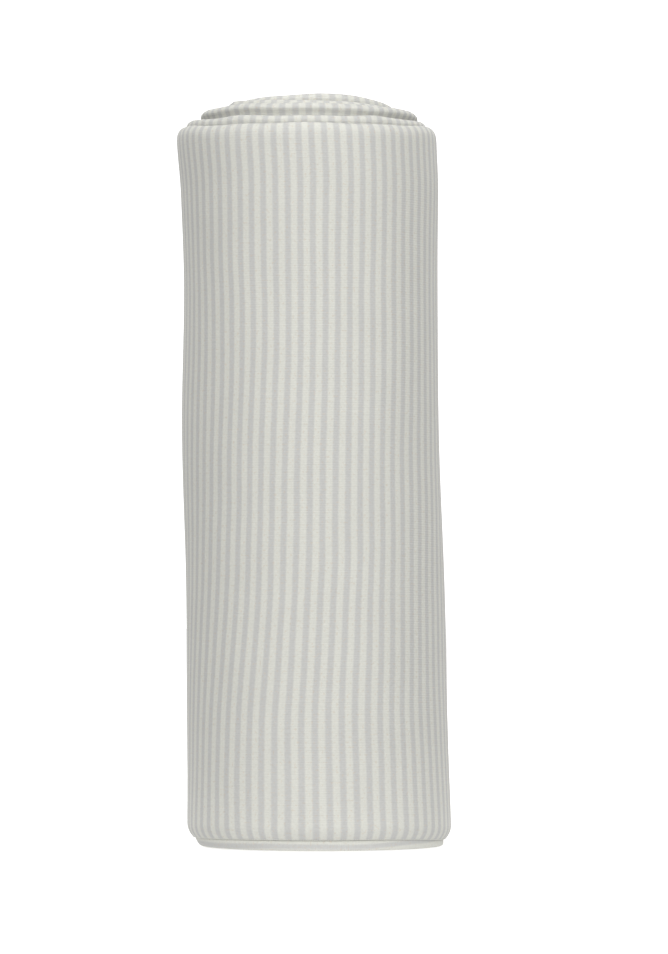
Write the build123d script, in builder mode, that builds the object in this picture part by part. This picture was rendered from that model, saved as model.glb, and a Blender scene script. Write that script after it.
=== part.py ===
# Baby wrap sling: a long stretch jersey cloth, folded end to end and then lengthwise, rolled up from its
# two tails and stood on end. Its storage pouch lies flat under the outermost turn.
#
# Millimetres, +Z up, origin on the floor at the middle of the roll. The front of the roll faces -Y, and the
# cloth's free end closes on its back. The free end is cut at three upright creases, about which it peels open.
import os
from math import ceil, cos, degrees, pi, radians, sin, sqrt

from build123d import *

os.makedirs("parts", exist_ok=True)

# Cloth, as cut
cloth_length = 5000.0
cloth_width = 600.0
ply = 0.7
overlock_depth = 1.2

# Roll
core_radius = 7.0
winding_gap = 0.3
tip_angle = 150.0
outer_turn_bottom = 4.5
outer_turn_drop = 11.0
crown_drop = 8.0
crown_width = 12.0

# Free end: three lengths of cloth between creases
free_lengths = {"root": 30.0, "middle": 30.0, "tip": 30.0}
crease_gap = 0.3

# Storage pouch, flat
pouch_width = 220.0
pouch_height = 270.0
pouch_middle_angle = -90.0
pouch_seam_width = 1.5
pouch_hem_depth = 16.0
stitch_width = 0.8
stitch_relief = 0.3

# Blank patch that marks the middle of the cloth, and the folded care label
patch_width = 20.0
patch_height = 32.0
patch_thickness = 0.6
patch_from_tip = 5.0
patch_above_edge = 26.0
patch_stitch_inset = 1.5
label_width = 18.0
label_height = 40.0
label_thickness = 0.3
label_from_tip = 10.0

# Folded sizes
strip_thickness = 4 * ply
strip_length = cloth_length / 2
roll_height = cloth_width / 2
outer_turn_top = roll_height - outer_turn_drop
pitch = strip_thickness + winding_gap
wound_radius = sqrt(core_radius**2 + strip_length * pitch / pi)

# The room that the pouch needs between two turns, and the room to leave at the sides of the roll, so that it
# still has that much at its own two edges, towards the back, where the turns draw together again
pouch_thickness = 2 * ply
pouch_need = pouch_thickness + stitch_relief + winding_gap
pouch_reach = degrees((pouch_width / 2 + pouch_seam_width) / (wound_radius - pitch))
past_side = max(0.0, pouch_reach - 90)
pouch_space = 2 * pouch_need / (1 + cos(radians(past_side)))
outer_station = wound_radius + pouch_space
face = strip_thickness / 2
axis_shift = pitch / 4


# The winding is a spiral of half turns, counted inwards from the free end. Half turn 0 is at the back, 1 at
# the front and so on. A station is the distance from the axis where one half turn meets the next, and the
# pouch lies between the first and the third.
def station(index):
    under_pouch = index >= 3
    return outer_station - index * pitch / 2 - under_pouch * pouch_space


def half_turn_radius(index):
    return (station(index) + station(index + 1)) / 2


def half_turn_centre(index):
    side = 1 if index % 2 == 0 else -1
    return Vector(side * (station(index + 1) - station(index)) / 2 - axis_shift, -axis_shift)


# The arcs of the winding from one angle inwards to a lower one
def wound(first_angle, last_angle):
    arcs = []
    for index in range(ceil((180 - last_angle) / 180)):
        start = min(first_angle, 180 - 180 * index)
        end = max(last_angle, -180 * index)
        if start > end:
            arcs.append((half_turn_centre(index), half_turn_radius(index), start, end))
    return arcs


# The angle reached by a length of cloth that is wound inwards from an angle, measured along the middle ply
# or along a layer that lies off it by the given offset
def angle_after(first_angle, length, offset=0.0):
    angle = first_angle
    index = int((180 - first_angle) // 180)
    while length > 1e-9:
        radius = half_turn_radius(index) + offset
        sweep = min(angle + 180 * index, degrees(length / radius))
        angle = angle - sweep
        length = length - radians(sweep) * radius
        index = index + 1
    return angle


def point_on(centre, radius, angle):
    return centre + Vector(radius * cos(radians(angle)), radius * sin(radians(angle)))


# A flat profile of the winding between two angles and two offsets from its middle line
def wound_profile(first_angle, last_angle, low, high):
    arcs = wound(first_angle, last_angle)
    first, last = arcs[0], arcs[-1]
    with BuildSketch() as profile:
        with BuildLine():
            for centre, radius, start, end in arcs:
                CenterArc(centre, radius + high, end, start - end)
                CenterArc(centre, radius + low, end, start - end)
            Line(point_on(first[0], first[1] + low, first[2]), point_on(first[0], first[1] + high, first[2]))
            Line(point_on(last[0], last[1] + low, last[3]), point_on(last[0], last[1] + high, last[3]))
        make_face()
    return profile.sketch


def write(part, label):
    part.label = label
    export_step(part, f"parts/{label}.step")


# Where the cloth ends and creases, as angles
crease_angles = {}
segment_angles = {}
angle = tip_angle
for name in ("tip", "middle", "root"):
    crease = angle_after(angle, free_lengths[name])
    segment_angles[name] = (angle, crease)
    angle = angle_after(crease, crease_gap)
    crease_angles[name] = (crease + angle) / 2
outer_turn_first = angle
outer_turn_last = tip_angle - 360
free_end_length = sum(free_lengths.values()) + 3 * crease_gap
tail_angle = angle_after(tip_angle, strip_length)
tail_end_angle = angle_after(tail_angle, overlock_depth)

# The turns inside the outermost one: their tops rise towards the middle of the roll
with BuildPart() as crowned_space:
    Cylinder(outer_station + pitch, roll_height, align=(Align.CENTER, Align.CENTER, Align.MIN))
    chamfer(crowned_space.edges().sort_by(Axis.Z)[-1], crown_drop, crown_width)

with BuildPart() as wrap_inner_turns:
    with BuildSketch(Plane.XY.offset(overlock_depth)):
        add(wound_profile(outer_turn_last, tail_angle, -face, face))
    extrude(amount=roll_height - overlock_depth)
    add(crowned_space.part, mode=Mode.INTERSECT)
write(wrap_inner_turns.part, "wrap_inner_turns")

with BuildPart() as inner_edge_overlock:
    with BuildSketch():
        add(wound_profile(outer_turn_last, tail_angle, -face, face))
    extrude(amount=overlock_depth)
write(inner_edge_overlock.part, "inner_edge_overlock")

with BuildPart() as tail_end_overlock:
    with BuildSketch():
        add(wound_profile(tail_angle, tail_end_angle, -face, face))
    extrude(amount=roll_height)
write(tail_end_overlock.part, "tail_end_overlock")

# The outermost turn, which stops short of the floor
with BuildPart() as wrap_outer_turn:
    with BuildSketch(Plane.XY.offset(outer_turn_bottom + overlock_depth)):
        add(wound_profile(outer_turn_first, outer_turn_last, -face, face))
    extrude(amount=outer_turn_top - outer_turn_bottom - overlock_depth)
write(wrap_outer_turn.part, "wrap_outer_turn")

with BuildPart() as outer_edge_overlock:
    with BuildSketch(Plane.XY.offset(outer_turn_bottom)):
        add(wound_profile(outer_turn_first, outer_turn_last, -face, face))
    extrude(amount=overlock_depth)
write(outer_edge_overlock.part, "outer_edge_overlock")

# The free end, from its root to the fold at the middle of the cloth
for name, (first_angle, last_angle) in segment_angles.items():
    with BuildPart() as free_cloth:
        with BuildSketch(Plane.XY.offset(outer_turn_bottom + overlock_depth)):
            add(wound_profile(first_angle, last_angle, -face, face))
        extrude(amount=outer_turn_top - outer_turn_bottom - overlock_depth)
    write(free_cloth.part, f"wrap_free_end_{name}")

    with BuildPart() as free_overlock:
        with BuildSketch(Plane.XY.offset(outer_turn_bottom)):
            add(wound_profile(first_angle, last_angle, -face, face))
        extrude(amount=overlock_depth)
    write(free_overlock.part, f"free_end_{name}_overlock")

# The pouch lies against the inner face of the outermost turn
pouch_outer = -face - winding_gap - stitch_relief
pouch_inner = pouch_outer - pouch_thickness
pouch_line = (pouch_outer + pouch_inner) / 2
pouch_half_angle = degrees(pouch_width / 2 / (half_turn_radius(1) + pouch_line))
pouch_first = pouch_middle_angle + pouch_half_angle
pouch_last = angle_after(pouch_first, pouch_width, pouch_line)
seam_angle = degrees(pouch_seam_width / (half_turn_radius(1) + pouch_line))

with BuildPart() as storage_pouch:
    with BuildSketch():
        add(wound_profile(pouch_first, pouch_last, pouch_inner, pouch_outer))
    extrude(amount=pouch_height)
write(storage_pouch.part, "storage_pouch")

with BuildPart() as pouch_side_seams:
    with BuildSketch():
        add(wound_profile(pouch_first + seam_angle, pouch_first, pouch_inner, pouch_outer))
        add(wound_profile(pouch_last, pouch_last - seam_angle, pouch_inner, pouch_outer))
    extrude(amount=pouch_height)
write(pouch_side_seams.part, "pouch_side_seams")

with BuildPart() as pouch_hem_stitching:
    with BuildSketch(Plane.XY.offset(pouch_height - pouch_hem_depth)):
        add(wound_profile(pouch_first, pouch_last, pouch_outer, pouch_outer + stitch_relief))
    extrude(amount=stitch_width)
write(pouch_hem_stitching.part, "pouch_hem_stitching")

# The blank patch on the outer face, by the fold, and the thread that holds it
patch_first = angle_after(tip_angle, patch_from_tip, face)
patch_last = angle_after(patch_first, patch_width, face)
patch_bottom = outer_turn_bottom + patch_above_edge
patch_face = face + patch_thickness

with BuildPart() as centre_patch:
    with BuildSketch(Plane.XY.offset(patch_bottom)):
        add(wound_profile(patch_first, patch_last, face, patch_face))
    extrude(amount=patch_height)
write(centre_patch.part, "centre_patch")

stitch_first = angle_after(patch_first, patch_stitch_inset, face)
stitch_last = angle_after(patch_first, patch_width - patch_stitch_inset, face)
window_first = angle_after(stitch_first, stitch_width, face)
window_last = angle_after(patch_first, patch_width - patch_stitch_inset - stitch_width, face)
with BuildPart() as centre_patch_stitching:
    with BuildSketch(Plane.XY.offset(patch_bottom + patch_stitch_inset)):
        add(wound_profile(stitch_first, stitch_last, patch_face, patch_face + stitch_relief))
    extrude(amount=patch_height - 2 * patch_stitch_inset)
    with BuildSketch(Plane.XY.offset(patch_bottom + patch_stitch_inset + stitch_width)):
        add(wound_profile(window_first, window_last, patch_face - ply, patch_face + ply))
    extrude(amount=patch_height - 2 * patch_stitch_inset - 2 * stitch_width, mode=Mode.SUBTRACT)
write(centre_patch_stitching.part, "centre_patch_stitching")

# The folded care label, caught in the overlocked edge on the inner face, behind the patch
label_first = angle_after(tip_angle, label_from_tip)
label_last = angle_after(label_first, label_width)
with BuildPart() as care_label:
    with BuildSketch(Plane.XY.offset(outer_turn_bottom)):
        add(wound_profile(label_first, label_last, -face - label_thickness, -face))
    extrude(amount=label_height)
write(care_label.part, "care_label")

for name, crease in crease_angles.items():
    place = point_on(half_turn_centre(0), half_turn_radius(0) + face, crease)
    print(f"crease at the {name}: x {place.X:.3f} y {place.Y:.3f} angle {crease:.2f}")
print(f"outer turn from {outer_turn_first:.2f} to {outer_turn_last:.2f}, tail at {tail_angle:.2f}")
print(f"pouch from {pouch_first:.2f} to {pouch_last:.2f}, free end {free_end_length:.1f} long")
print(f"outer station {outer_station:.3f}, pitch {pitch:.3f}")
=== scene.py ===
import math

import bpy
import numpy as np
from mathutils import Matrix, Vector


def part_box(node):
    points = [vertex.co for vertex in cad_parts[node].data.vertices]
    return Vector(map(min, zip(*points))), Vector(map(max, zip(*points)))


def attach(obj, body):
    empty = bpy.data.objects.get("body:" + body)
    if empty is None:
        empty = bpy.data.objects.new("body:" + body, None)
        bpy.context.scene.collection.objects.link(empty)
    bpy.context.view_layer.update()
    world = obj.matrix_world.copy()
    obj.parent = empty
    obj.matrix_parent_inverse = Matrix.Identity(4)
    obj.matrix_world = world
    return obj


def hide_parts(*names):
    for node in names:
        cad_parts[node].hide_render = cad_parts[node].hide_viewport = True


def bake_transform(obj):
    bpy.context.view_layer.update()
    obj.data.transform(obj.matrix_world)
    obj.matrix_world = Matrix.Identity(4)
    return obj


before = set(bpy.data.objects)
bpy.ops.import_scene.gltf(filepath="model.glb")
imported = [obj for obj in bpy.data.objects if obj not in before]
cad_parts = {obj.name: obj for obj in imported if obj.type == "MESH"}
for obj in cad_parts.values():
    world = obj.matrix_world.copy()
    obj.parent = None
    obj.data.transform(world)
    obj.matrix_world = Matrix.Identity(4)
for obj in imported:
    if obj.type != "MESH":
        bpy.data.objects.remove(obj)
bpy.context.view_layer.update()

mm = 0.001


def deselectAll():
    bpy.ops.object.select_all(action="DESELECT")


def makeActive(obj):
    deselectAll()
    obj.select_set(True)
    bpy.context.view_layer.objects.active = obj


def applyModifiers(obj):
    makeActive(obj)
    for mod in list(obj.modifiers):
        bpy.ops.object.modifier_apply(modifier=mod.name)


def rampBetween(x, low, high):
    # 0 below low, 1 above high, smooth between
    t = np.clip((np.asarray(x, float) - low) / (high - low), 0, 1)
    return t * t * (3 - 2 * t)


def smoothThrough(x, knots):
    # a soft curve through a few (x, value) knots, level past both ends
    kx = np.array([k[0] for k in knots], float)
    ky = np.array([k[1] for k in knots], float)
    slope = np.gradient(ky, kx)
    slope[0] = slope[-1] = 0
    x = np.clip(np.asarray(x, float), kx[0], kx[-1])
    i = np.clip(np.searchsorted(kx, x, side="right") - 1, 0, len(kx) - 2)
    w = kx[i + 1] - kx[i]
    t = (x - kx[i]) / w
    return (
        (2 * t**3 - 3 * t**2 + 1) * ky[i]
        + (t**3 - 2 * t**2 + t) * w * slope[i]
        + (3 * t**2 - 2 * t**3) * ky[i + 1]
        + (t**3 - t**2) * w * slope[i + 1]
    )


def meshFromGrids(name, grids):
    # each grid is (points[rows, columns, 3], uvs[rows, columns, 2], closedRows): one mesh of quads
    verts, faces, uvs, start = [], [], [], 0
    for points, uv, closed in grids:
        rows, cols = points.shape[:2]
        verts.append(points.reshape(-1, 3))
        index = start + np.arange(rows * cols).reshape(rows, cols)
        if closed:
            index = np.vstack([index, index[:1]])
            uv = np.concatenate([uv, uv[:1] + np.array([0, uv[1, 0, 1] - uv[0, 0, 1]]) * rows], axis=0)
        a, b = index[:-1, :-1], index[:-1, 1:]
        c, d = index[1:, 1:], index[1:, :-1]
        faces.append(np.stack([a, b, c, d], axis=-1).reshape(-1, 4))
        corner = np.stack([uv[:-1, :-1], uv[:-1, 1:], uv[1:, 1:], uv[1:, :-1]], axis=2)
        uvs.append(corner.reshape(-1, 2))
        start += rows * cols
    verts, faces, uvs = np.concatenate(verts), np.concatenate(faces), np.concatenate(uvs)
    mesh = bpy.data.meshes.new(name)
    mesh.from_pydata(verts.tolist(), [], faces.tolist())
    layer = mesh.uv_layers.new(name="clothMetres")
    layer.data.foreach_set("uv", uvs.astype(np.float32).ravel())
    mesh.validate()
    obj = bpy.data.objects.new(name, mesh)
    bpy.context.collection.objects.link(obj)
    mesh.polygons.foreach_set("use_smooth", np.ones(len(mesh.polygons), bool))
    return obj


def thicken(obj, thickness):
    solid = obj.modifiers.new("plyThickness", "SOLIDIFY")
    solid.thickness = thickness
    solid.offset = 0
    solid.use_rim = True
    applyModifiers(obj)


# The cloth, folded end to end and then lengthwise, is a strip of four plies, wound up from its two tails
wrap = {
    "length": 5.0,  # cut length and width of the cloth
    "width": 0.6,
    "ply": 0.7 * mm,
    "turnGap": 0.3 * mm,
    "clothThickness": 0.62 * mm,
    "tipAngle": 150.0,
    "freeLength": 30 * mm,  # each of the free end's three lengths
    "creaseGap": 0.3 * mm,
    "seamAngle": -210.0,  # where the outermost turn begins
}
ply = wrap["ply"]
stripThickness = 4 * ply
pitch = stripThickness + wrap["turnGap"]
face = stripThickness / 2
axisShift = pitch / 4
outerBox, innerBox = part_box("wrap_outer_turn"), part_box("wrap_inner_turns")
pouchRoom = outerBox[1].x - innerBox[1].x - pitch
outerStation = outerBox[1].x + axisShift - face + pitch / 2
stripLength = wrap["length"] / 2


def station(index):
    return outerStation - index * pitch / 2 - (pouchRoom if index >= 3 else 0)


halfTurns = 30
stations = [station(i) for i in range(halfTurns + 1)]
arcRadius = np.array([(stations[i] + stations[i + 1]) / 2 for i in range(halfTurns)])
arcSide = np.array([1 if i % 2 == 0 else -1 for i in range(halfTurns)])
arcCentre = np.array([arcSide[i] * (stations[i + 1] - stations[i]) / 2 for i in range(halfTurns)])
arcCentre = arcCentre - axisShift
arcSweep = np.radians([wrap["tipAngle"] if i == 0 else 180 for i in range(halfTurns)])
arcEnd = np.cumsum(arcRadius * arcSweep)
arcStart = arcEnd - arcRadius * arcSweep
arcFirst = np.radians([wrap["tipAngle"] if i == 0 else 180 - 180 * i for i in range(halfTurns)])


def windingAt(d):
    # d is the distance along the strip's middle line from the free end inwards
    i = np.clip(np.searchsorted(arcEnd, d), 0, halfTurns - 1)
    angle = arcFirst[i] - (d - arcStart[i]) / arcRadius[i]
    return arcCentre[i], arcRadius[i], angle


def distanceAt(angleDeg):
    # the distance from the free end at which the strip has wound down to an angle
    i = int((180 - angleDeg) // 180)
    return float(arcStart[i] + (arcFirst[i] - math.radians(angleDeg)) * arcRadius[i])


# The roll doesn't stand quite true: it leans, has a slight waist, and spreads at its foot
roll = {
    "lean": ((0, 2.0), (0.06, 1.1), (0.11, 0.3), (0.17, -1.4), (0.23, -1.5), (0.265, -2.1), (0.3, -2.8)),
    "girth": ((0, 1.031), (0.03, 1.021), (0.1, 1.008), (0.17, 1.002), (0.235, 0.996), (0.265, 1.011),
              (0.285, 1.02), (0.3, 1.02)),
    "waves": ((0.22, 2, 12.0, 0.7), (0.14, 3, -27.0, 2.1), (0.10, 5, 38.0, 4.0), (0.07, 7, -61.0, 1.0)),
    "stillRadius": 0.012, "wavyRadius": 0.05,  # metres; the waves are weaker nearer the core
}


def settle(points):
    # moves every piece of the roll together, so that no layer passes through another
    x, y, z = points[..., 0], points[..., 1], points[..., 2]
    girth = smoothThrough(z, roll["girth"])
    lean = smoothThrough(z, roll["lean"]) * mm
    radius, angle = np.hypot(x, y), np.arctan2(y, x)
    swell = sum(
        size * mm * np.sin(lobes * angle + rise * z + phase) for size, lobes, rise, phase in roll["waves"]
    )
    grow = girth + swell / np.maximum(radius, roll["stillRadius"]) * np.clip(radius / roll["wavyRadius"], 0, 1)
    return np.stack([x * grow + lean, y * grow, z], axis=-1)


# Heights of the turns' tops, outermost first: (degrees right of the front, mm above the floor)
turnTops = (
    ((-75, 288.0), (0, 288.0), (75, 288.0)),
    ((-88, 290.6), (-70, 290.9), (-46, 290.4), (-36, 291.3), (0, 291.3), (36, 291.2), (46, 290.4),
     (70, 290.6), (88, 290.2)),
    ((-88, 294.6), (-70, 295.3), (-41, 296.0), (0, 296.5), (27, 296.2), (36, 295.4), (46, 294.9),
     (56, 294.9), (71, 294.7), (88, 293.6)),
    ((-75, 292.0), (-58, 293.6), (-51, 297.9), (0, 297.9), (50, 295.8), (62, 294.4), (75, 293.2)),
    ((-75, 292.0), (-62, 293.5), (-54, 297.6), (-24, 299.2), (7, 300.2), (25, 300.2), (34, 300.0),
     (45, 299.0), (55, 297.9), (65, 296.7), (75, 295.2)),
    ((-75, 292.6), (-60, 296.4), (0, 298.8), (75, 295.0)),
    ((-75, 295.6), (0, 297.6), (75, 296.0)),
    ((-75, 295.6), (0, 298.6), (75, 296.6)),
    ((-75, 296.9), (0, 297.0), (75, 296.2)),
    ((-75, 296.2), (0, 298.2), (75, 298.4)),
    ((-75, 297.6), (0, 296.4), (75, 297.0)),
    ((-75, 296.4), (0, 297.4), (75, 295.6)),
    ((-75, 295.6), (0, 295.8), (75, 296.4)),
    ((-75, 294.2), (0, 294.6), (75, 295.2)),
    ((-75, 293.4), (0, 293.6), (75, 294.0)),
)
topKnots = sorted(
    ((wrap["tipAngle"] + 90 - degrees) / 360 + turn, height * mm)
    for turn, tops in enumerate(turnTops)
    for degrees, height in tops
)
topX = np.array([k[0] for k in topKnots])
topZ = np.array([k[1] for k in topKnots])


def turnsIn(d):
    # how many turns inside the free end
    return (wrap["tipAngle"] - np.degrees(windingAt(d)[2])) / 360


def topAt(d):
    t = turnsIn(d)
    spread = (-0.012, -0.006, 0, 0.006, 0.012)
    soft = sum(np.interp(t + s, topX, topZ) for s in spread) / len(spread)
    return soft + 0.25 * mm * np.sin(d * 95) + 0.15 * mm * np.sin(d * 210 + 1)


foot = {
    "edge": 4.2,  # mm that the outermost turn's edge stops above the floor
    "dip": (1.4, 0.5),  # mm that this edge dips at both sides, and how much more at the right than the left
    "lifts": (4.5, 2.0),  # mm that the second and third turns are lifted over a stretch at the left
    "liftFrom": (165, 195), "liftTo": (225, 255),
}


def bottomAt(d):
    # the outermost turn and the free end stop short of the floor, and the inner turns rest on it
    t = turnsIn(d)
    resting = rampBetween(t, 0.97, 1.03)
    around = np.degrees(windingAt(d)[2]) % 360
    lifted = rampBetween(around, *foot["liftFrom"])
    lifted = lifted * (1 - rampBetween(around, *foot["liftTo"]))
    deeper = rampBetween(t, 1.9, 2.1)
    inner = lifted * (foot["lifts"][0] * (1 - deeper) + foot["lifts"][1] * deeper) * mm
    inner = inner * (1 - rampBetween(t, 2.9, 3.1))
    aside = np.cos(windingAt(d)[2])  # 1 at the right, -1 at the left
    dip = (foot["dip"][0] + foot["dip"][1] * aside) * mm * aside**4
    return (1 - resting) * (foot["edge"] * mm - dip) + resting * inner


crest = {
    "lean": 1.3 * mm, "leanSpan": 7 * mm,  # the outermost turn's top leans in over this much
    "curl": 2.4 * mm, "curlSpan": 6 * mm,  # and its lower edge curls in
    "slant": 0.65 * mm,
    "puff": 0.22 * mm,  # the inner turns swell at their tops
    "thirdPuff": 0.7 * mm,  # the third one, which stands clear of the second, swells most
    "swell": (1.4, 1.3), "neck": (4.9, 1.9),  # mm below the top, and how far each reaches either way
    "secondFrom": (0.27, 0.281), "thirdFrom": (0.262, 0.284),  # heights in metres
    # above the pouch the second turn spreads into its room and the third draws in: front, left to right,
    # both sides
    "second": (0.6 * mm, -0.7 * mm, 0.7 * mm), "third": (-0.1 * mm, 0.4 * mm, -0.8 * mm),
}


def sideSize(sizes, angle):
    behind = 1 - 0.9 * np.clip(np.sin(angle), 0, 1)
    return behind * (sizes[0] + sizes[1] * np.cos(angle) + sizes[2] * np.cos(angle) ** 2)


def bellAt(below, shape):
    return np.exp(-((below / mm - shape[0]) / shape[1]) ** 2)


def clothPoint(d, n, z):
    # a point of the wound cloth: distance in from the free end, offset outwards from the middle line, height
    top, bottom = topAt(d), bottomAt(d)
    turn = turnsIn(d)
    outermost = 1 - rampBetween(turn, 0.98, 1.02)
    second = (1 - outermost) * (1 - rampBetween(turn, 1.9, 2.1))
    third = rampBetween(turn, 1.9, 2.1) * (1 - rampBetween(turn, 2.9, 3.1))
    below = top - z
    centre, radius, angle = windingAt(d)
    lean = outermost * crest["lean"] * np.clip(1 - below / crest["leanSpan"], 0, 1.1) ** 3
    curl = outermost * crest["curl"] * np.clip(1 - (z - bottom) / crest["curlSpan"], 0, 1.1) ** 2.5
    inside = rampBetween(turn, 1.9, 2.1) * radius / arcRadius[4]
    spread = second * sideSize(crest["second"], angle) * rampBetween(z, *crest["secondFrom"])
    spread = spread + inside * sideSize(crest["third"], angle) * rampBetween(z, *crest["thirdFrom"])
    neck = 0.3 + 0.3 * np.cos(angle)  # none at the left
    swell = bellAt(below, crest["swell"]) - neck * bellAt(below, crest["neck"])
    puff = ((1 - outermost) * crest["puff"] + third * crest["thirdPuff"]) * swell
    away = radius + n - lean - curl + spread + puff
    sideways = crest["slant"] * (0.3 * third - outermost) * rampBetween(z, *crest["thirdFrom"])
    x = centre + away * np.cos(angle) + sideways
    y = away * np.sin(angle) - axisShift
    return settle(np.stack([x, y, z + 0 * d], axis=-1))


# How far the cloth has crept sideways round the front of the roll, by height, as it was rolled a little skew
creep = {
    "twist": ((0, -6.8), (0.045, -6.8), (0.1, -3.8), (0.15, -1.3), (0.2, 0.4), (0.23, 0.1), (0.28, 1.3)),
    "stretch": ((0, 0.065), (0.04, 0.05), (0.085, 0.008), (0.14, -0.022), (0.28, -0.02)),
    "fadeIn": (10 * mm, 110 * mm),
}


def creepAt(d, z):
    angle = windingAt(d)[2]
    stretch = smoothThrough(z, creep["stretch"]) * outerStation * np.cos(angle)
    skew = smoothThrough(z, creep["twist"]) * mm + stretch
    return skew * rampBetween(d, *creep["fadeIn"]) * (turnsIn(d) < 1.01)


# One vertical section of a ply that is folded over the top: up the outside, over the crest, down the inside
def foldedPly(d, along, rho, bottoms, sections, crestHeight, tipWander=0.0):
    # d, along and rho are one value per column; bottoms are how far the two edges stop above the strip's own
    outerRows, crestRows, innerRows = sections
    top = topAt(d) - (1.5 * ply - rho) * 1.25
    bottom = bottomAt(d)
    low, high = bottom + bottoms[0], top - crestHeight
    phi = np.linspace(0, math.pi, crestRows + 2)[1:-1]
    outer = [(rho, low + f * (high - low)) for f in outerRows]
    over = [(rho * math.cos(p) * (1 + 0.28 * math.sin(p)), high + crestHeight * math.sin(p)) for p in phi]
    lowIn = bottom + bottoms[1]
    inner = [(-rho, lowIn + f * (high - lowIn)) for f in innerRows[::-1]]
    n = np.array([row[0] for row in outer + over + inner])
    z = np.array([row[1] for row in outer + over + inner])
    wander = tipWander * np.sin(z * 23 + 0.6) * np.exp(-d / (14 * mm)) + tipWander
    points = clothPoint(np.broadcast_to(d, z.shape) + wander, n, z)
    step = np.linalg.norm(np.diff(points, axis=0), axis=-1)
    across = np.vstack([np.zeros((1, len(d))), np.cumsum(step, axis=0)])
    return points, np.stack([along + np.sign(along) * creepAt(d, z), across], axis=-1), False


def denseAtEnds(low, middle, high, lowShare, highShare):
    # rows from 0 to 1: many near the lower edge and the crest, few between
    a = np.linspace(0, lowShare, low, endpoint=False)
    b = np.linspace(lowShare, 1 - highShare, middle, endpoint=False)
    return np.concatenate([a, b, np.linspace(1 - highShare, 1, high)])


def stretchOfWrap(name, first, last, step, fine):
    # the four plies of the strip between two distances from the free end, as two nested folds
    columns = max(3, int((last - first) / step) + 1)
    d = np.linspace(first, last, columns)
    outerRows = denseAtEnds(12, 88, 18, 0.035, 0.05) if fine else denseAtEnds(6, 8, 18, 0.03, 0.06)
    innerRows = denseAtEnds(5, 8, 12, 0.03, 0.05)
    high = 4.2 * mm if fine else 3.2 * mm
    hidden = 2.6 * mm if fine else 0.8 * mm  # how much higher the inner edge stops
    outside = foldedPly(d, d, np.full(columns, 1.5 * ply), (0, hidden), (outerRows, 13, innerRows), high)
    coarse = denseAtEnds(4, 7, 6, 0.03, 0.04)
    dIn = d[::2] if columns % 2 else d
    under = (2.4 * mm, 2.5 * mm) if fine else (1.5 * mm, 1.9 * mm)
    inside = foldedPly(dIn, -dIn, np.full(len(dIn), 0.5 * ply), under, (coarse, 7, coarse), 2.2 * mm)
    obj = meshFromGrids(name, [outside, inside])
    thicken(obj, wrap["clothThickness"])
    return obj


def tipOfWrap(name, last, step):
    # the free end itself: the outer ply turns back into the inner one round the fold at the middle of the cloth
    bend = ply / 2
    quarter = bend * math.pi / 2
    nearFold = quarter + np.geomspace(0.15, 1, 6)[:-1] * step
    away = np.concatenate([nearFold, np.arange(quarter + step, last, step), [last + quarter - bend]])
    turning = np.linspace(-quarter, quarter, 9)
    u = np.concatenate([-away[::-1], turning, away])
    phi = np.clip(u / bend, -math.pi / 2, math.pi / 2)
    d = np.where(np.abs(u) < quarter, bend * (1 - np.cos(phi)), np.abs(u) - quarter + bend)
    rho = ply - bend * np.sin(phi)
    side = (1 + np.sin(phi)) / 2  # 0 on the outer ply, 1 on the inner one
    outerRows = denseAtEnds(12, 88, 18, 0.035, 0.05)
    innerRows = np.linspace(0, 1, 60)
    bottoms = (2.4 * mm * side, 2.6 * mm - 0.1 * mm * side)
    grid = foldedPly(d, -u, rho, bottoms, (outerRows, 13, innerRows), 4.2 * mm - 1.6 * mm * side, 0.6 * mm)
    obj = meshFromGrids(name, [grid])
    thicken(obj, wrap["clothThickness"])
    return obj


freeLength, creaseGap = wrap["freeLength"], wrap["creaseGap"]
creases = {
    "tip": freeLength + creaseGap / 2,
    "middle": 2 * freeLength + 1.5 * creaseGap,
    "root": 3 * freeLength + 2.5 * creaseGap,
}
cutFrom = 4.15 * mm  # each bend's piece is cut this far before the next crease, clear of its bend
tipCut, middleCut, turnStart = (creases[key] + cutFrom for key in ("tip", "middle", "root"))
seam = distanceAt(wrap["seamAngle"])
shoulderEnd = distanceAt(wrap["seamAngle"] - 4 * 360)
middleEnd = distanceAt(wrap["seamAngle"] - 8 * 360)

outerTurn = stretchOfWrap("wrapOuterTurn", turnStart, seam, 1.6 * mm, True)
rootBend = stretchOfWrap("wrapRootBend", middleCut, turnStart, 1.3 * mm, True)
middleBend = stretchOfWrap("wrapMiddleBend", tipCut, middleCut, 1.3 * mm, True)
tipBend = tipOfWrap("wrapTipBend", tipCut, 1.3 * mm)
shoulderTurns = stretchOfWrap("wrapShoulderTurns", seam, shoulderEnd, 2.35 * mm, False)
middleTurns = stretchOfWrap("wrapMiddleTurns", shoulderEnd, middleEnd, 1.8 * mm, False)
coreTurns = stretchOfWrap("wrapCoreTurns", middleEnd, stripLength, 1.2 * mm, False)
print("wrap turns made")


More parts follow.
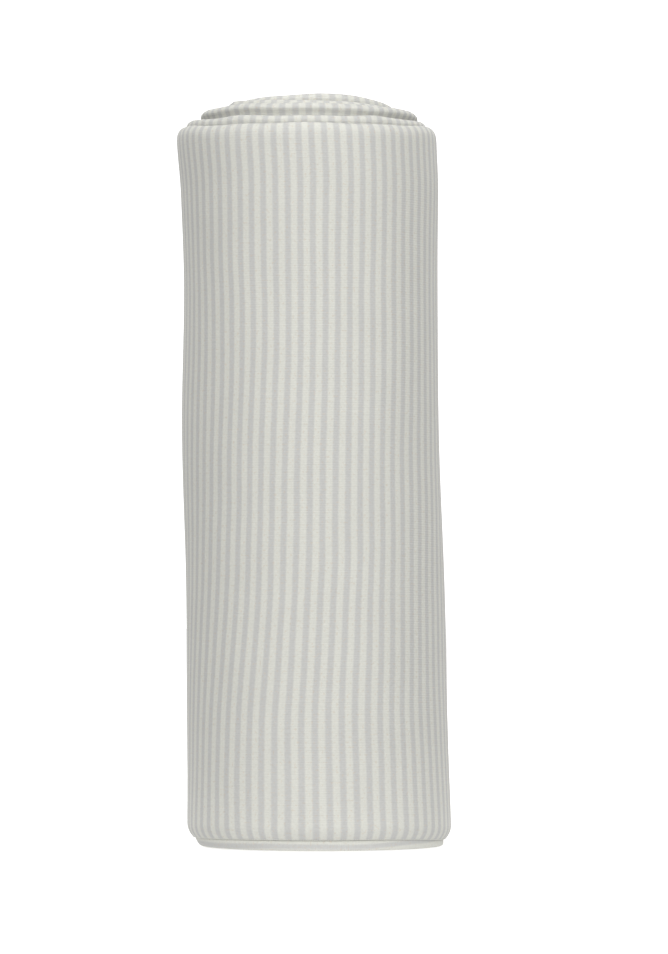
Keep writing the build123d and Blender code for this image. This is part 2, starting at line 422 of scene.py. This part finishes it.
def threadAlong(name, lines, radius, sides, wrapPitch):
    # a bead of thread wound tightly over an edge: each line is an array of points
    grids = []
    for line in lines:
        along = np.gradient(line, axis=0)
        along /= np.linalg.norm(along, axis=1)[:, None]
        up = np.array([0, 0, 1.0]) - along * along[:, 2:3]
        upright = np.linalg.norm(up, axis=1) < 0.3
        up[upright] = np.array([1.0, 0, 0]) - along[upright] * along[upright][:, :1]
        up /= np.linalg.norm(up, axis=1)[:, None]
        out = np.cross(along, up)
        run = np.concatenate([[0], np.cumsum(np.linalg.norm(np.diff(line, axis=0), axis=1))])
        turn = np.linspace(0, 2 * math.pi, sides, endpoint=False)[:, None]
        bump = radius * (1 + 0.16 * np.cos(2 * math.pi * run[None, :] / wrapPitch + turn))
        bump[:, 0] = bump[:, -1] = radius * 0.15
        ring = np.cos(turn)[..., None] * up[None] + np.sin(turn)[..., None] * out[None]
        points = line[None] + bump[..., None] * ring
        runs, rounds = np.broadcast_to(run[None, :], bump.shape), np.broadcast_to(turn * radius, bump.shape)
        uv = np.stack([runs, rounds], axis=-1)
        grids.append((points, uv, True))
    return meshFromGrids(name, grids)


def edgeLine(first, last, step, rho, lift):
    d = np.linspace(first, last, max(4, int((last - first) / step)))
    return clothPoint(d, np.full(len(d), rho), bottomAt(d) + lift)


def edgeThread(name, first, last, fine):
    step, sides = (0.22 * mm, 8) if fine else (2.0 * mm, 6)
    radius = 0.36 * mm
    edges = [(1.5 * ply, 0.2 * mm), (0.5 * ply, 1.75 * mm), (-0.5 * ply, 2.15 * mm), (-1.5 * ply, 1.05 * mm)]
    if fine:
        edges = edges[:1] + [(0.5 * ply, 2.65 * mm), (-0.5 * ply, 2.75 * mm), (-1.5 * ply, 2.85 * mm)]
    lines = [edgeLine(first, last, step if k == 0 else 1.2 * mm, *edge) for k, edge in enumerate(edges)]
    return threadAlong(name, lines, radius, sides, 0.9 * mm)


outerThread = edgeThread("outerTurnEdgeThread", turnStart, seam, True)
rootThread = edgeThread("rootEdgeThread", middleCut, turnStart, True)
middleThread = edgeThread("middleEdgeThread", tipCut, middleCut, True)
tipThread = edgeThread("tipEdgeThread", 1.2 * mm, tipCut, True)
innerThread = edgeThread("innerEdgeThread", seam, stripLength, False)
tailZ = np.linspace(3 * mm, 291 * mm, 320)
tailD = np.full(len(tailZ), stripLength + 0.3 * mm)
tailLines = [
    clothPoint(tailD, np.full(len(tailZ), rho), tailZ) for rho in (1.5 * ply, 0.5 * ply, -0.5 * ply, -1.5 * ply)
]
tailThread = threadAlong("tailEndThread", tailLines, 0.38 * mm, 6, 2.7 * mm)
print("edge threads made")


# The storage pouch lies flat under the outermost turn
pouch = {
    "width": 220 * mm, "height": 270 * mm, "gap": 0.6 * mm, "hem": 16 * mm,
    "tuck": 2.2 * mm,  # how far its lower left corner is tucked in
    "slope": 1.9 * mm,  # how far its stripes climb towards the right
    "spread": 0.3 * mm,  # its foot spreads out under the outermost turn's edge
    "bulge": 0.7 * mm,  # and more so below that edge, at the front
    "sag": 0.35 * mm,  # its foot sags this much at the sides, and half as much at the front
}
pouchOuter = -face - pouch["gap"]
pouchMiddle = pouchOuter - ply


def pouchAngles():
    radius = arcRadius[1] + pouchMiddle
    half = math.degrees(pouch["width"] / 2 / radius)
    return -90 + half, -90 - half


def pouchPoint(d, n, z):
    # like the wound cloth, but with its own lower corner tucked in
    centre, radius, angle = windingAt(d)
    right = (np.degrees(angle) + 90 + 180) % 360 - 180
    tuck = pouch["tuck"] * (1 - rampBetween(right, -70, 30)) * rampBetween(right, -150, -95)
    inward = tuck * np.clip(1 - z / (4.2 * mm), 0, 1) ** 2
    spread = pouch["spread"] * (1 - rampBetween(z, 3.6 * mm, 6.4 * mm))
    spread = spread + pouch["bulge"] * np.sin(angle) ** 2 * (1 - rampBetween(z, 3.2 * mm, 4.1 * mm))
    sag = pouch["sag"] * (1 - 0.5 * np.sin(angle) ** 2) * (1 - rampBetween(z, 1 * mm, 7 * mm))
    away = radius + n - inward + spread
    x = centre + away * np.cos(angle)
    y = away * np.sin(angle) - axisShift
    return settle(np.stack([x, y, z - sag], axis=-1))


def makePouch():
    first, last = (distanceAt(a) for a in pouchAngles())
    columns = int((last - first) / (1.7 * mm))
    d = np.linspace(first, last, columns)
    bend = ply / 2
    zs = np.concatenate([np.linspace(pouch["height"], 20 * mm, 50)[:-1], np.linspace(20 * mm, 5 * mm, 9)[:-1],
                         np.linspace(5 * mm, 0.8 * mm, 15)])
    phi = np.linspace(0, math.pi, 9)[1:-1]
    outer, inner = np.full(len(zs), pouchMiddle + bend), np.full(len(zs), pouchMiddle - bend)
    n = np.concatenate([outer, pouchMiddle + bend * np.cos(phi), inner])
    z = np.concatenate([zs, 0.8 * mm - 0.5 * mm * np.sin(phi), zs[::-1]])
    grid = np.stack(np.meshgrid(z, d, indexing="ij"))
    rows = np.broadcast_to(n[:, None], grid[0].shape)
    points = pouchPoint(grid[1], rows, grid[0])
    right = (np.degrees(windingAt(d)[2]) + 90 + 180) % 360 - 180
    climb = pouch["slope"] * rampBetween(right, 5, 75) ** 1.5
    step = np.concatenate([[0], np.cumsum(np.hypot(np.diff(n), np.diff(z)))])
    base = step[len(zs) + len(phi) // 2]  # the bottom fold is where the stripes are counted from
    along = np.broadcast_to((base - step)[:, None], grid[0].shape) - climb[None]
    uv = np.stack([along, np.broadcast_to(d[None], along.shape)], axis=-1)
    obj = meshFromGrids("storagePouch", [(points, uv, False)])
    thicken(obj, wrap["clothThickness"])
    return obj


storagePouch = makePouch()


def pouchSeams():
    lines = []
    for angle, side in zip(pouchAngles(), (-1, 1)):
        d0 = distanceAt(angle) + side * 0.6 * mm
        z = np.linspace(1.4 * mm, pouch["height"] - 1 * mm, 500)
        lines.append(pouchPoint(np.full(len(z), d0), np.full(len(z), pouchMiddle), z))
    return threadAlong("pouchSideSeams", lines, 0.6 * mm, 8, 2.2 * mm)


sideSeams = pouchSeams()
print("pouch made")


def runningStitches(name, path, length, gap, radius):
    # short raised stitches laid end to end on a line of points
    run = np.concatenate([[0], np.cumsum(np.linalg.norm(np.diff(path, axis=0), axis=1))])
    bpy.ops.mesh.primitive_uv_sphere_add(segments=8, ring_count=6, radius=1)
    stitch = bpy.context.active_object
    shape = np.array([v.co for v in stitch.data.vertices])
    stitchFaces = [tuple(p.vertices) for p in stitch.data.polygons]
    bpy.data.objects.remove(stitch, do_unlink=True)
    verts, faces = [], []
    starts = np.arange(gap, run[-1] - length, length + gap)
    for s in starts:
        a, b = (np.array([np.interp(v, run, path[:, k]) for k in range(3)]) for v in (s, s + length))
        mid, along = (a + b) / 2, (b - a) / np.linalg.norm(b - a)
        side = np.cross(along, [0, 0, 1.0]) if abs(along[2]) < 0.9 else np.cross(along, [1.0, 0, 0])
        side /= np.linalg.norm(side)
        up = np.cross(along, side)
        base = len(verts)
        verts += [mid + v[0] * along * length * 0.52 + v[1] * side * radius + v[2] * up * radius for v in shape]
        faces += [tuple(base + i for i in f) for f in stitchFaces]
    mesh = bpy.data.meshes.new(name)
    mesh.from_pydata([tuple(v) for v in verts], [], faces)
    mesh.polygons.foreach_set("use_smooth", np.ones(len(mesh.polygons), bool))
    obj = bpy.data.objects.new(name, mesh)
    bpy.context.collection.objects.link(obj)
    return obj


def hemStitches():
    first, last = (distanceAt(a) for a in pouchAngles())
    d = np.linspace(first + 2 * mm, last - 2 * mm, 200)
    hemZ = np.full(len(d), pouch["height"] - pouch["hem"])
    path = pouchPoint(d, np.full(len(d), pouchOuter + 0.05 * mm), hemZ)
    return runningStitches("pouchHemStitching", path, 2.4 * mm, 0.5 * mm, 0.2 * mm)


hemStitching = hemStitches()


# A blank patch by the fold, and a folded care label behind it
patch = {
    "fromTip": 5 * mm, "width": 20 * mm, "height": 32 * mm, "aboveEdge": 26 * mm, "thickness": 0.5 * mm,
    "corner": 2.0 * mm, "inset": 1.5 * mm,
}
label = {"fromTip": 10 * mm, "width": 18 * mm, "height": 40 * mm, "ply": 0.13 * mm}
edgeZ = outerBox[0].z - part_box("outer_edge_overlock")[1].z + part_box("outer_edge_overlock")[0].z


def roundedPlate(name, width, height, corner, cuts):
    # a flat plate in its own plane, x along the cloth and y up it, with rounded corners and a fine grid
    bpy.ops.mesh.primitive_grid_add(x_subdivisions=cuts[0], y_subdivisions=cuts[1], size=1)
    obj = bpy.context.active_object
    obj.name = obj.data.name = name
    for v in obj.data.vertices:
        x, y = v.co.x * width, v.co.y * height
        overX, overY = abs(x) - (width / 2 - corner), abs(y) - (height / 2 - corner)
        if overX > 0 and overY > 0:
            reach = max(overX, overY)
            far = math.hypot(overX, overY)
            x = math.copysign(width / 2 - corner + overX * reach / far, x)
            y = math.copysign(height / 2 - corner + overY * reach / far, y)
        v.co = (x, y, 0)
    uv = obj.data.uv_layers[0]
    uv.name = "clothMetres"
    for loop in obj.data.loops:
        co = obj.data.vertices[loop.vertex_index].co
        uv.data[loop.index].uv = (co.x, co.y)
    return obj


def layOnCloth(obj, dMiddle, zMiddle, n):
    # x runs towards the tip's fold and z stands off the face
    co = np.array([v.co for v in obj.data.vertices])
    points = clothPoint(dMiddle - co[:, 0], n + co[:, 2], zMiddle + co[:, 1])
    obj.data.vertices.foreach_set("co", points.astype(np.float32).ravel())
    obj.data.update()


patchMiddle = patch["fromTip"] + patch["width"] / 2
patchZ = edgeZ + patch["aboveEdge"] + patch["height"] / 2


def makePatch():
    obj = roundedPlate("centrePatch", patch["width"], patch["height"], patch["corner"], (34, 52))
    solid = obj.modifiers.new("thickness", "SOLIDIFY")
    solid.thickness = patch["thickness"]
    solid.offset = 1
    soften = obj.modifiers.new("softEdge", "BEVEL")
    soften.width = 0.14 * mm
    soften.segments = 2
    soften.limit_method = "ANGLE"
    applyModifiers(obj)
    low = np.array([v.co.z for v in obj.data.vertices]).min()
    for v in obj.data.vertices:
        v.co.z -= low
    layOnCloth(obj, patchMiddle, patchZ, face - 0.02 * mm)
    obj.data.polygons.foreach_set("use_smooth", np.ones(len(obj.data.polygons), bool))
    return obj


centrePatch = makePatch()


def patchStitches():
    w, h = patch["width"] / 2 - patch["inset"], patch["height"] / 2 - patch["inset"]
    corners = [(-w, -h), (w, -h), (w, h), (-w, h), (-w, -h)]
    flat = []
    for (x0, y0), (x1, y1) in zip(corners[:-1], corners[1:]):
        count = int(math.hypot(x1 - x0, y1 - y0) / (0.5 * mm))
        flat += [(x0 + (x1 - x0) * t / count, y0 + (y1 - y0) * t / count) for t in range(count)]
    flat = np.array(flat)
    top = np.full(len(flat), face + patch["thickness"])
    path = clothPoint(patchMiddle - flat[:, 0], top, patchZ + flat[:, 1])
    return runningStitches("centrePatchStitching", path, 1.5 * mm, 0.35 * mm, 0.17 * mm)


patchStitching = patchStitches()


def makeLabel():
    # a satin tape folded at its top, both ends caught in the cloth's edge
    columns, rows = 16, 34
    d = np.linspace(label["fromTip"], label["fromTip"] + label["width"], columns)
    z0, z1 = edgeZ + 2.2 * mm, edgeZ + label["height"]
    up = np.linspace(z0, z1 - 0.3 * mm, rows)
    phi = np.linspace(0, math.pi, 7)[1:-1]
    gap = label["ply"] * 0.6
    base = -face - 0.17 * mm
    n = np.concatenate([np.full(rows, base + gap), base + gap * np.cos(phi), np.full(rows, base - gap)])
    z = np.concatenate([up, z1 - 0.3 * mm + 0.3 * mm * np.sin(phi), up[::-1]])
    zz, dd = np.meshgrid(z, d, indexing="ij")
    points = clothPoint(dd, np.broadcast_to(n[:, None], zz.shape), zz)
    run = np.concatenate([[0], np.cumsum(np.hypot(np.diff(n), np.diff(z)))])
    uv = np.stack([dd, np.broadcast_to(run[:, None], dd.shape)], axis=-1)
    obj = meshFromGrids("careLabel", [(points, uv, False)])
    thicken(obj, 0.1 * mm)
    return obj


careLabel = makeLabel()
print("patch and label made")


def linear(hexColour):
    parts = [int(hexColour[i:i + 2], 16) / 255 for i in (1, 3, 5)]
    return tuple(c / 12.92 if c <= 0.04045 else ((c + 0.055) / 1.055) ** 2.4 for c in parts) + (1.0,)


def addNode(tree, kind, settings=None, links=None):
    # links: input name or index -> (node, output name or index)
    node = tree.nodes.new(kind)
    for key, value in (settings or {}).items():
        if isinstance(key, int) or key in node.inputs.keys():
            node.inputs[key].default_value = value
        else:
            setattr(node, key, value)
    for key, (source, output) in (links or {}).items():
        tree.links.new(source.outputs[output], node.inputs[key])
    return node


def newMaterial(name, roughness, sheen, specular=0.25):
    mat = bpy.data.materials.new(name)
    mat.use_nodes = True
    tree = mat.node_tree
    shader = tree.nodes["Principled BSDF"]
    shader.inputs["Roughness"].default_value = roughness
    shader.inputs["Sheen Weight"].default_value = sheen
    shader.inputs["Sheen Roughness"].default_value = 0.5
    shader.inputs["Specular IOR Level"].default_value = specular
    return mat, tree, shader


def maths(tree, operation, a, b=None):
    settings, links = {"operation": operation}, {}
    for slot, value in enumerate((a, b)):
        if isinstance(value, tuple):
            links[slot] = value
        elif value is not None:
            settings[slot] = value
    return (addNode(tree, "ShaderNodeMath", settings, links), 0)


jersey = {
    "cream": "#E2E2DA", "grey": "#CFCFCC", "fleck": "#D6C4AE",
    "stripe": 5.0 * mm,  # one cream and one grey stripe
    "wale": 0.95 * mm,  # a rib of knit stitches; a little coarser than real, so that it shows
    "course": 0.62 * mm,
}


def stripedJersey(name, phase, greyShare):
    # single jersey knit, yarn dyed in two shades: matt, slightly fuzzy, with ribs along the cloth and stripes
    # across it
    mat, tree, shader = newMaterial(name, 0.92, 0.18)
    place = addNode(tree, "ShaderNodeUVMap", {"uv_map": "clothMetres"})
    parts = addNode(tree, "ShaderNodeSeparateXYZ", links={0: (place, 0)})
    u, v = (parts, 0), (parts, 1)

    drift = addNode(tree, "ShaderNodeTexNoise", {"Scale": 24.0, "Detail": 1.5}, {"Vector": (place, 0)})
    ragged = addNode(tree, "ShaderNodeTexNoise", {"Scale": 1500.0, "Detail": 1.0}, {"Vector": (place, 0)})
    shift = maths(tree, "MULTIPLY", maths(tree, "SUBTRACT", (drift, 0), 0.5), 1.5 * mm)
    rough = maths(tree, "MULTIPLY", maths(tree, "SUBTRACT", (ragged, 0), 0.5), 0.4 * mm)
    across = maths(tree, "ADD", maths(tree, "ADD", u, shift), maths(tree, "ADD", rough, phase))
    inStripe = maths(tree, "PINGPONG", maths(tree, "DIVIDE", across, jersey["stripe"]), 0.5)
    edge = 0.5 * greyShare
    dyed = addNode(tree, "ShaderNodeMapRange", {"interpolation_type": "SMOOTHSTEP", "From Min": edge - 0.1,
                   "From Max": edge + 0.1, "To Min": 1.0, "To Max": 0.0}, {"Value": inStripe})
    yarn = addNode(tree, "ShaderNodeMix", {"data_type": "RGBA", 6: linear(jersey["cream"]),
                   7: linear(jersey["grey"])}, {0: (dyed, 0)})

    rib = maths(tree, "PINGPONG", maths(tree, "DIVIDE", v, jersey["wale"]), 0.5)  # 0 in the groove
    slant = maths(tree, "ADD", maths(tree, "DIVIDE", u, jersey["course"]), maths(tree, "MULTIPLY", rib, 1.3))
    loops = maths(tree, "PINGPONG", slant, 0.5)
    ribHeight = maths(tree, "SINE", maths(tree, "MULTIPLY", rib, math.pi))
    loopHeight = maths(tree, "SINE", maths(tree, "MULTIPLY", loops, math.pi))
    stitch = maths(tree, "ADD", maths(tree, "MULTIPLY", ribHeight, 0.75),
                   maths(tree, "MULTIPLY", loopHeight, 0.25))

    mottle = addNode(tree, "ShaderNodeTexNoise", {"Scale": 900.0, "Detail": 3.0, "Roughness": 0.7},
                     {"Vector": (place, 0)})
    cloud = addNode(tree, "ShaderNodeTexNoise", {"Scale": 60.0, "Detail": 2.0}, {"Vector": (place, 0)})
    # how strongly the painted stitch shading below shows, varying in patches
    patchyStitchShading = addNode(tree, "ShaderNodeMapRange", {"From Min": 0.4, "From Max": 0.65, "To Min": 0.0,
                     "To Max": 0.04}, {"Value": (cloud, 0)})
    tone = maths(tree, "ADD", maths(tree, "MULTIPLY", (mottle, 0), 0.22),
                 maths(tree, "MULTIPLY", (cloud, 0), 0.05))
    # painted shade and light: in patches the knit's grooves are darkened and its raised ribs and loops
    # lightened, as if shaded and lit
    tone = maths(tree, "ADD", tone, maths(tree, "MULTIPLY", maths(tree, "SUBTRACT", stitch, 0.6), (patchyStitchShading, 0)))
    shade = maths(tree, "ADD", tone, 0.83)
    neps = addNode(tree, "ShaderNodeTexNoise", {"Scale": 1000.0, "Detail": 0.0}, {"Vector": (place, 0)})
    fleck = addNode(tree, "ShaderNodeMapRange", {"From Min": 0.64, "From Max": 0.76, "To Min": 0.0,
                    "To Max": 0.3}, {"Value": (neps, 0)})
    flecked = addNode(tree, "ShaderNodeMix", {"data_type": "RGBA", 7: linear(jersey["fleck"])},
                      {0: (fleck, 0), 6: (yarn, 2)})
    colour = addNode(tree, "ShaderNodeMix", {"data_type": "RGBA", "blend_type": "MULTIPLY", 0: 1.0},
                     {6: (flecked, 2), 7: shade})
    tree.links.new(colour.outputs[2], shader.inputs["Base Color"])

    height = maths(tree, "ADD", stitch, maths(tree, "MULTIPLY", (mottle, 0), 0.5))
    bump = addNode(tree, "ShaderNodeBump", {"Strength": 0.2, "Distance": 0.22 * mm}, {"Height": height})
    tree.links.new(bump.outputs[0], shader.inputs["Normal"])
    return mat


def threadMaterial():
    # spun polyester sewing thread: off white, faintly lustrous, with the twist of its plies
    mat, tree, shader = newMaterial("spunSewingThread", 0.6, 0.1, 0.4)
    place = addNode(tree, "ShaderNodeTexCoord")
    grain = addNode(tree, "ShaderNodeTexNoise", {"Scale": 2600.0, "Detail": 2.0}, {"Vector": (place, "Object")})
    tint = addNode(tree, "ShaderNodeMix", {"data_type": "RGBA", 6: linear("#D6D6CD"), 7: linear("#EBEBE4")},
                   {0: (grain, 0)})
    tree.links.new(tint.outputs[2], shader.inputs["Base Color"])
    bump = addNode(tree, "ShaderNodeBump", {"Strength": 0.4, "Distance": 0.08 * mm}, {"Height": (grain, 0)})
    tree.links.new(bump.outputs[0], shader.inputs["Normal"])
    return mat


def wovenTape(name, warm, pale, pitchMm, roughness, sheen):
    # narrow woven tape: two crossing sets of fine threads
    mat, tree, shader = newMaterial(name, roughness, sheen, 0.35)
    place = addNode(tree, "ShaderNodeUVMap", {"uv_map": "clothMetres"})
    parts = addNode(tree, "ShaderNodeSeparateXYZ", links={0: (place, 0)})
    warp = maths(tree, "SINE", maths(tree, "MULTIPLY", (parts, 0), 2 * math.pi / (pitchMm * mm)))
    weft = maths(tree, "SINE", maths(tree, "MULTIPLY", (parts, 1), 2 * math.pi / (pitchMm * mm)))
    cross = maths(tree, "MULTIPLY_ADD", maths(tree, "MULTIPLY", warp, weft), 0.5)
    cross[0].inputs[2].default_value = 0.5
    grain = addNode(tree, "ShaderNodeTexNoise", {"Scale": 500.0, "Detail": 2.0}, {"Vector": (place, 0)})
    blend = maths(tree, "ADD", maths(tree, "MULTIPLY", cross, 0.6), maths(tree, "MULTIPLY", (grain, 0), 0.4))
    tint = addNode(tree, "ShaderNodeMix", {"data_type": "RGBA", 6: linear(warm), 7: linear(pale)}, {0: blend})
    tree.links.new(tint.outputs[2], shader.inputs["Base Color"])
    bump = addNode(tree, "ShaderNodeBump", {"Strength": 0.5, "Distance": 0.1 * mm}, {"Height": cross})
    tree.links.new(bump.outputs[0], shader.inputs["Normal"])
    return mat


wrapJersey = stripedJersey("cottonJerseyWrap", 1.6 * mm, 0.48)
pouchJersey = stripedJersey("cottonJerseyPouch", 3.45 * mm, 0.36)
sewingThread = threadMaterial()
patchTape = wovenTape("cottonTwillTape", "#C9C6B8", "#E2E0D4", 0.7, 0.85, 0.1)
labelTape = wovenTape("polyesterSatinTape", "#E2E2DE", "#F2F2EE", 0.4, 0.42, 0.0)


def finishPiece(obj, material, slotName, *nodes):
    obj.data.materials.clear()
    obj.data.materials.append(material)
    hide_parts(*nodes)


for piece, node in ((outerTurn, "wrap_outer_turn"), (rootBend, "wrap_free_end_root"),
                    (middleBend, "wrap_free_end_middle"), (tipBend, "wrap_free_end_tip"),
                    (shoulderTurns, "wrap_inner_turns"), (middleTurns, "wrap_inner_turns"),
                    (coreTurns, "wrap_inner_turns")):
    finishPiece(piece, wrapJersey, "striped_jersey", node)
finishPiece(storagePouch, pouchJersey, "striped_jersey", "storage_pouch")
for piece, node in ((outerThread, "outer_edge_overlock"), (rootThread, "free_end_root_overlock"),
                    (middleThread, "free_end_middle_overlock"), (tipThread, "free_end_tip_overlock"),
                    (innerThread, "inner_edge_overlock"), (tailThread, "tail_end_overlock"),
                    (sideSeams, "pouch_side_seams"), (hemStitching, "pouch_hem_stitching"),
                    (patchStitching, "centre_patch_stitching")):
    finishPiece(piece, sewingThread, "overlock_thread", node)
finishPiece(centrePatch, patchTape, "patch_tape", "centre_patch")
finishPiece(careLabel, labelTape, "satin_tape", "care_label")
print("materials made")


for piece in (outerTurn, shoulderTurns, middleTurns, coreTurns, storagePouch, outerThread, innerThread,
              tailThread, sideSeams, hemStitching):
    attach(piece, "roll")


def bendAcross(joint, *bent):
    for piece in bent:
        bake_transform(piece)


bendAcross("peel_root", rootBend, rootThread)
bendAcross("peel_middle", middleBend, middleThread)
bendAcross("peel_tip", tipBend, tipThread, centrePatch, patchStitching, careLabel)

scene = bpy.context.scene
scene.view_settings.view_transform = "Standard"
scene.view_settings.look = "None"

cameraData = bpy.data.cameras.new("camera")
cameraData.sensor_width = 36
cameraData.lens = 262
camera = bpy.data.objects.new("camera", cameraData)
bpy.context.collection.objects.link(camera)
camera.location = (0.0080, -2.8, 0.148)
camera.rotation_euler = (math.radians(90), 0, 0)
scene.camera = camera

world = bpy.data.worlds.new("paleStudio")
world.use_nodes = True
scene.world = world
background = world.node_tree.nodes["Background"]
background.inputs["Color"].default_value = (1, 1, 1, 1)
background.inputs["Strength"].default_value = 0.4


def softLight(name, place, aim, size, power):
    data = bpy.data.lights.new(name, "AREA")
    data.shape = "RECTANGLE"
    data.size, data.size_y = size
    data.energy = power
    light = bpy.data.objects.new(name, data)
    bpy.context.collection.objects.link(light)
    light.location = place
    light.rotation_euler = (Vector(aim) - Vector(place)).to_track_quat("-Z", "Y").to_euler()
    return light


softLight("frontSoftbox", (0.1, -1.9, 0.75), (0, 0, 0.15), (1.2, 1.2), 19.2)
softLight("topSoftbox", (0, -0.5, 1.5), (0, 0, 0.25), (0.9, 0.9), 7)
softLight("rearLeftSoftbox", (-1.25, 1.65, 0.8), (0, 0, 0.15), (1.2, 1.2), 13.5)
softLight("rearRightSoftbox", (1.25, 1.65, 0.8), (0, 0, 0.15), (1.2, 1.2), 13.5)
for bounce in (softLight("floorBounce", (0, 0, -0.0007), (0, 0, 1), (0.5, 0.5), 0.12),
               softLight("footBounce", (0, 0, -0.0008), (0, 0, 1), (0.155, 0.13), 0.0155)):
    bounce.visible_camera = False


def stagePlane(name, size, place, turn, brightness):
    # shown to the camera, and left out of the light that falls on the roll
    bpy.ops.mesh.primitive_plane_add(size=size, location=place, rotation=turn)
    obj = bpy.context.active_object
    obj.name = name
    mat = bpy.data.materials.new(name + "Paint")
    mat.use_nodes = True
    shader = mat.node_tree.nodes["Principled BSDF"]
    shader.inputs["Base Color"].default_value = linear("#F4F4F2")
    shader.inputs["Roughness"].default_value = 0.9
    shader.inputs["Emission Color"].default_value = (1, 1, 1, 1)
    shader.inputs["Emission Strength"].default_value = brightness
    obj.data.materials.append(mat)
    obj.visible_diffuse = False
    obj.visible_glossy = False


stagePlane("paleFloor", 12, (0, 0, -0.0009), (0, 0, 0), 0.68)
stagePlane("paleBackdrop", 12, (0, 4, 3), (math.radians(90), 0, 0), 0.9)
print("stage made")
